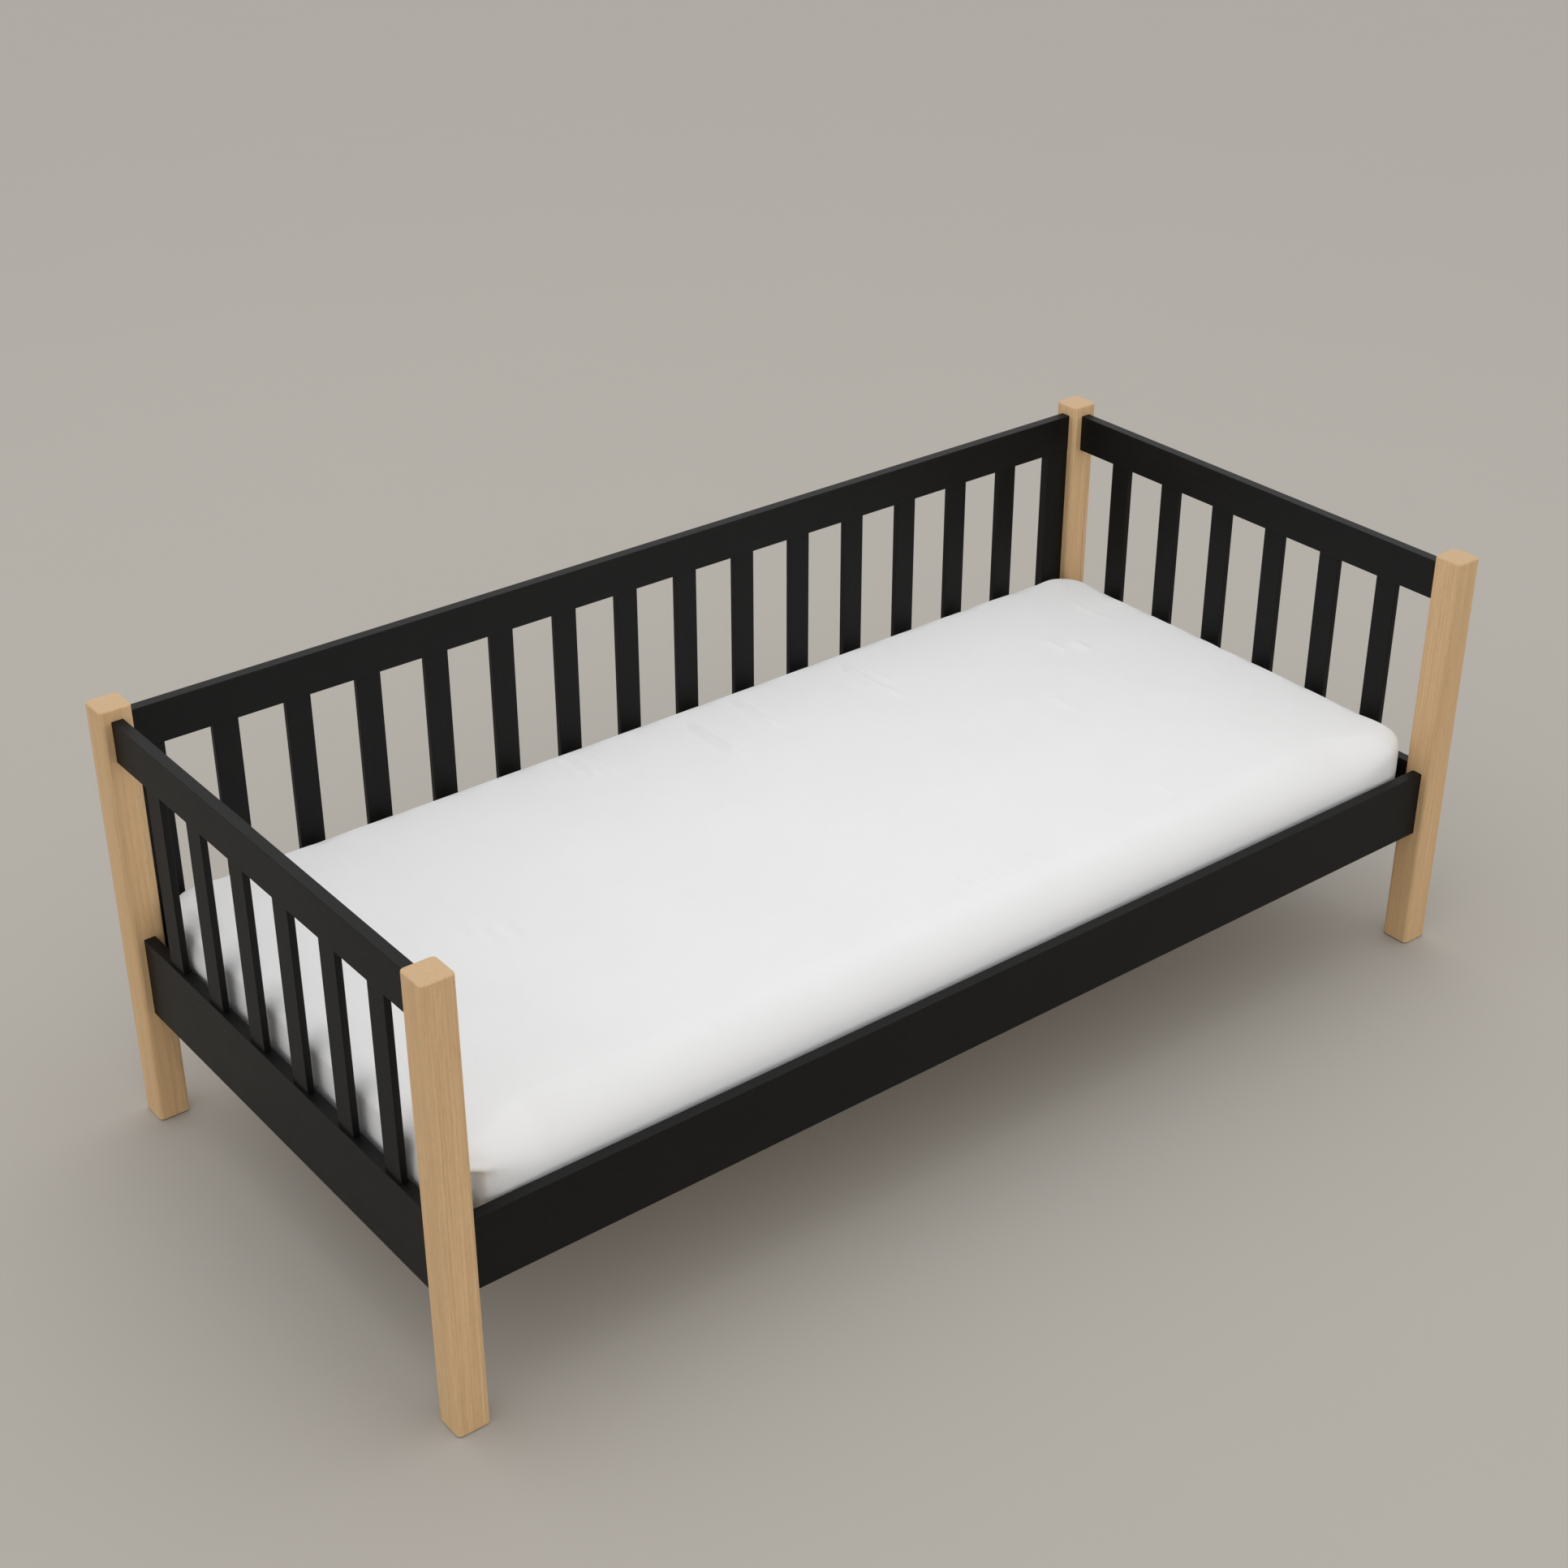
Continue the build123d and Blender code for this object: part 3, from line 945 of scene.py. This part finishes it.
def corner_folds(points, normals, settings):
    """Small upright folds in the sheet round the corners of the mattress."""
    past_x = np.abs(points[:, 0]) - COVER_HIGH.x + settings.corner
    past_y = np.abs(points[:, 1]) - COVER_HIGH.y + settings.corner
    near = np.clip(past_x / CORNER_FADE, 0, 1) * np.clip(past_y / CORNER_FADE, 0, 1)
    upright = np.clip(1 - 1.6 * normals[:, 2] ** 2, 0, 1)
    return 0.0016 * near * upright * soft_noise(points * np.array([1, 1, 0.12]), 0.0085, 5)


def inside_rails(points, clear):
    """Keep points clear of the inner faces of the rails."""
    held = points.copy()
    limit_x, limit_y = RAIL_INSIDE_X - clear, RAIL_INSIDE_Y - clear
    held[:, 0] = np.clip(held[:, 0], -limit_x, limit_x)
    held[:, 1] = np.clip(held[:, 1], -limit_y, limit_y)
    return held


# --------------------------------------------------------------------- operators
class BED_OT_posts(bpy.types.Operator):
    """Oil the four oak posts, each with its own grain"""

    bl_idname = "bed.posts"
    bl_label = "Oak posts"

    def execute(self, context):
        groups = groups_once()
        settings = context.scene.bed.oak
        for number, name in enumerate(nodes_like("post_")):
            low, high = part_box(name)
            middle = (low + high) / 2
            turn = math.radians(97 + 14 * number)
            distance = 0.11 + 0.02 * number
            pith = (
                distance * math.cos(turn) - middle.x,
                distance * math.sin(turn) - middle.y,
                0.37 * number,
            )
            tilt = math.radians(0.5 - 0.35 * number)
            material = oak_material(f"oak_{name}", settings, groups, pith, tilt)
            finish_nodes([name], material)
        return {"FINISHED"}


class BED_OT_rails(bpy.types.Operator):
    """Lacquer the rails, stiles and upright slats black"""

    bl_idname = "bed.rails"
    bl_label = "Black rails and slats"

    def execute(self, context):
        groups = groups_once()
        settings = context.scene.bed.lacquer
        long_rails = ["front_rail", "back_low_rail", "back_top_rail"]
        end_rails = [
            f"{side}_{level}_rail" for side in ("left", "right") for level in ("low", "top")
        ]
        uprights = nodes_like("back_slat", "left_slat", "right_slat", "back_stile")
        for axis, names in (("X", long_rails), ("Y", end_rails), ("Z", uprights)):
            name = f"black_lacquer_{axis.lower()}"
            finish_nodes(names, lacquer_material(name, settings, groups, axis))
        return {"FINISHED"}


class BED_OT_base(bpy.types.Operator):
    """Finish the slatted base, its tapes and the felt pads"""

    bl_idname = "bed.base"
    bl_label = "Slatted base and pads"

    def execute(self, context):
        groups = groups_once()
        pine_light, pine_dark = (0.72, 0.55, 0.33), (0.55, 0.36, 0.18)
        beech_light, beech_dark = (0.66, 0.46, 0.29), (0.52, 0.33, 0.19)
        ledger = raw_wood_material(
            "pine_ledgers", groups, "X", pine_light, pine_dark, (0.05, 0.03, 0.0)
        )
        slats = raw_wood_material(
            "pine_base_slats", groups, "Y", pine_light, pine_dark, (0.09, 0.02, 0.0)
        )
        dowels = raw_wood_material(
            "beech_dowels", groups, "X", beech_light, beech_dark, (0.04, 0.04, 0.0)
        )
        tape = cloth_material(
            "woven_tape", groups, (0.74, 0.73, 0.68), (0.55, 0.54, 0.50), 0.0016, 0.0004, 0.1
        )
        felt = cloth_material(
            "pressed_felt", groups, (0.10, 0.09, 0.08), (0.05, 0.045, 0.04), 0.0011, 0.0006, 0.3
        )
        finish_nodes(nodes_like("base_ledger"), ledger)
        finish_nodes(["base_slats"], slats)
        finish_nodes(["dowels"], dowels)
        finish_nodes(["base_tapes"], tape)
        finish_nodes(nodes_like("felt_pad"), felt)
        return {"FINISHED"}


class BED_OT_fixings(bpy.types.Operator):
    """Zinc plate the studs, washers, nuts, screws and staples"""

    bl_idname = "bed.fixings"
    bl_label = "Steel fixings"

    def execute(self, context):
        steel = steel_material("zinc_steel", groups_once())
        fixings = ["joint_studs", "joint_nuts", "half_moon_washers", "ledger_screws"]
        finish_nodes(fixings + ["base_slat_screws", "tape_staples"], steel)
        return {"FINISHED"}


class BED_OT_mattress(bpy.types.Operator):
    """Make the mattress and the fitted sheet that covers it"""

    bl_idname = "bed.mattress"
    bl_label = "Mattress and fitted sheet"

    def execute(self, context):
        settings = context.scene.bed.sheet
        points, faces, open_faces = mattress_mesh(settings)
        pad = new_object("mattress", points, faces)
        points = self.filled_out(pad, points)
        points = self.settled(points, settings)
        sheet_faces = [f for number, f in enumerate(faces) if number not in open_faces]
        sheet = self.cut_sheet(points, sheet_faces)
        self.shape_sheet(sheet.data, settings)
        pad_points = tuck_corner(points.copy(), settings, PAD_TUCK)
        set_points(pad.data, pad_points)
        set_points(pad.data, pad_points - get_normals(pad.data) * PAD_UNDER_SHEET)
        self.finish(pad, sheet, settings)
        self.declare(pad, sheet, settings)
        return {"FINISHED"}

    def filled_out(self, pad, points):
        """Points of the swollen mattress, none of them moved further than the cap."""
        moved = swell(pad) - points
        far = np.linalg.norm(moved, axis=1)
        scale = np.minimum(1.0, SWELL_CAP / np.maximum(far, 1e-9))
        return points + moved * scale[:, None]

    def settled(self, points, settings):
        """Let the top lie as it does along the bed, with the sides inside the rails."""
        upper = np.clip((points[:, 2] - COVER_LOW.z) / COVER_TALL, 0, 1)
        along = (points[:, 0] + COVER_HIGH.x) / (2 * COVER_HIGH.x)
        sag = np.interp(along, SAG_PLACES, SAG_DEPTHS)
        points[:, 2] += settings.sag * sag * upper**2
        points[:, 2] = np.maximum(points[:, 2], COVER_LOW.z)
        return inside_rails(points, PAD_CLEAR)

    def cut_sheet(self, points, faces):
        """The sheet as a mesh of its own, open underneath and twice as fine."""
        sheet = new_object("fitted_sheet_cloth", points, faces)
        lone = bmesh.new()
        lone.from_mesh(sheet.data)
        loose = [v for v in lone.verts if not v.link_faces]
        bmesh.ops.delete(lone, geom=loose, context="VERTS")
        lone.to_mesh(sheet.data)
        lone.free()
        refine = sheet.modifiers.new("Refine", "SUBSURF")
        refine.levels = refine.render_levels = 1
        depsgraph = bpy.context.evaluated_depsgraph_get()
        fine = bpy.data.meshes.new_from_object(sheet.evaluated_get(depsgraph))
        sheet.modifiers.clear()
        sheet.data = fine
        fine.shade_smooth()
        return sheet

    def shape_sheet(self, mesh, settings):
        """Lift the sheet off the mattress, and give it creases, folds and the tuck."""
        normals = get_normals(mesh)
        points = get_points(mesh)
        on_top = np.clip(normals[:, 2], 0, 1) ** 2
        points += normals * SHEET_OFFSET
        points[:, 2] += on_top * settings.crease * crease_heights(points)
        points += normals * slow_waves(points, on_top)[:, None]
        points += normals * hem_ripples(points)[:, None]
        points += normals * corner_folds(points, normals, settings)[:, None]
        points = tuck_corner(points, settings)
        points[:, 2] = np.maximum(points[:, 2], SHEET_BOTTOM)
        set_points(mesh, inside_rails(points, SHEET_CLEAR))

    def finish(self, pad, sheet, settings):
        """Give both their cloth."""
        groups = groups_once()
        cotton = cloth_material(
            "cotton_jersey",
            groups,
            settings.cotton,
            tuple(0.93 * part for part in settings.cotton),
            0.0012,
            0.00025,
            0.08,
        )
        ticking = cloth_material(
            "mattress_ticking", groups, (0.80, 0.79, 0.76), (0.66, 0.65, 0.62), 0.0022, 0.0005, 0.05
        )
        sheet.data.materials.clear()
        sheet.data.materials.append(cotton)
        pad.data.materials.append(ticking)

    def declare(self, pad, sheet, settings):
        """Attach both to the mattress body, and hide the CAD parts that they stand for."""
        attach(pad, "mattress")
        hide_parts("mattress_core", "mattress_cover")
        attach(sheet, "mattress")
        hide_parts("fitted_sheet")


BED_MIDDLE = Vector((0, 0, 0.35))
SOFTBOX_PLACE = Vector((-0.3, 0.2, 4.6))
# The camera stands to the front left, in metres, looking down and to the right in degrees.
CAMERA_PLACE = (-2.0707, -2.5342, 2.2846)
CAMERA_DOWN = 29.617
CAMERA_TURN = 38.294
FLOOR_HALF = 40.0


class BED_OT_stage(bpy.types.Operator):
    """Set out the floor, the soft studio light and the camera"""

    bl_idname = "bed.stage"
    bl_label = "Stage"

    def execute(self, context):
        settings = context.scene.bed.stage
        self.lay_floor(settings)
        self.hang_lights(settings)
        self.set_camera(settings)
        return {"FINISHED"}

    def lay_floor(self, settings):
        """A wide plain floor just under the felt pads."""
        half = FLOOR_HALF
        points = [(-half, -half, 0), (half, -half, 0), (half, half, 0), (-half, half, 0)]
        floor = new_object("studio_floor", points, [(0, 1, 2, 3)])
        material, tree, shader = new_material(
            "pale_floor", Roughness=0.8, Specular_IOR_Level=0.2
        )
        position = object_position(tree)
        dust = speckle(tree, position, 3.0, 3.0)
        darker = tuple(0.985 * part for part in settings.floor)
        wire(tree, mixed(tree, dust, settings.floor, darker), shader["Base Color"])
        floor.data.materials.append(material)

    def hang_lights(self, settings):
        """Pale walls all round, a little brighter than the ceiling, and a softbox overhead."""
        world = bpy.data.worlds.new("studio_room")
        world.use_nodes = True
        tree = world.node_tree
        background = tree.nodes["Background"]
        background.inputs["Color"].default_value = (1.0, 1.0, 1.0, 1.0)
        direction = tree.nodes.new("ShaderNodeTexCoord").outputs["Generated"]
        height = add(tree, "ShaderNodeSeparateXYZ", {0: direction}).outputs[2]
        strength = mapped(tree, height, 0.0, 1.0, settings.walls, settings.ceiling)
        wire(tree, strength, background.inputs["Strength"])
        bpy.context.scene.world = world
        data = bpy.data.lights.new("softbox_above", "AREA")
        data.shape = "SQUARE"
        data.size = 3.6
        data.energy = settings.lamp
        lamp = bpy.data.objects.new("softbox_above", data)
        lamp.location = SOFTBOX_PLACE
        aim = BED_MIDDLE - SOFTBOX_PLACE
        lamp.rotation_euler = aim.to_track_quat("-Z", "Y").to_euler()
        bpy.context.scene.collection.objects.link(lamp)

    def set_camera(self, settings):
        """A standing view from the front left, looking down on the bed."""
        data = bpy.data.cameras.new("camera")
        data.lens = settings.focal
        data.sensor_width = 36
        camera = bpy.data.objects.new("camera", data)
        camera.location = CAMERA_PLACE
        camera.rotation_euler = (math.radians(90 - CAMERA_DOWN), 0, math.radians(-CAMERA_TURN))
        bpy.context.scene.collection.objects.link(camera)
        bpy.context.scene.camera = camera
        bpy.context.scene.view_settings.view_transform = "Standard"


OPERATORS = (
    BED_OT_stage,
    BED_OT_posts,
    BED_OT_rails,
    BED_OT_base,
    BED_OT_fixings,
    BED_OT_mattress,
)


class BED_PT_maker(bpy.types.Panel):
    """Buttons that make each part of the bed"""

    bl_idname = "BED_PT_maker"
    bl_label = "Toddler bed"
    bl_space_type = "VIEW_3D"
    bl_region_type = "UI"
    bl_category = "Bed"

    def draw(self, context):
        column = self.layout.column(align=True)
        for operator in OPERATORS:
            column.operator(operator.bl_idname, text=operator.bl_label)


CLASSES = (
    OakSettings,
    LacquerSettings,
    SheetSettings,
    StageSettings,
    BedSettings,
    *OPERATORS,
    BED_PT_maker,
)


def register():
    for cls in CLASSES:
        bpy.utils.register_class(cls)
    bpy.types.Scene.bed = PointerProperty(
        type=BedSettings, name="Bed", description="Sizes and colours of the bed"
    )


def unregister():
    del bpy.types.Scene.bed
    for cls in reversed(CLASSES):
        bpy.utils.unregister_class(cls)


def main():
    register()
    for operator in OPERATORS:
        family, name = operator.bl_idname.split(".")
        getattr(getattr(bpy.ops, family), name)()


if __name__ == "__main__":
    main()
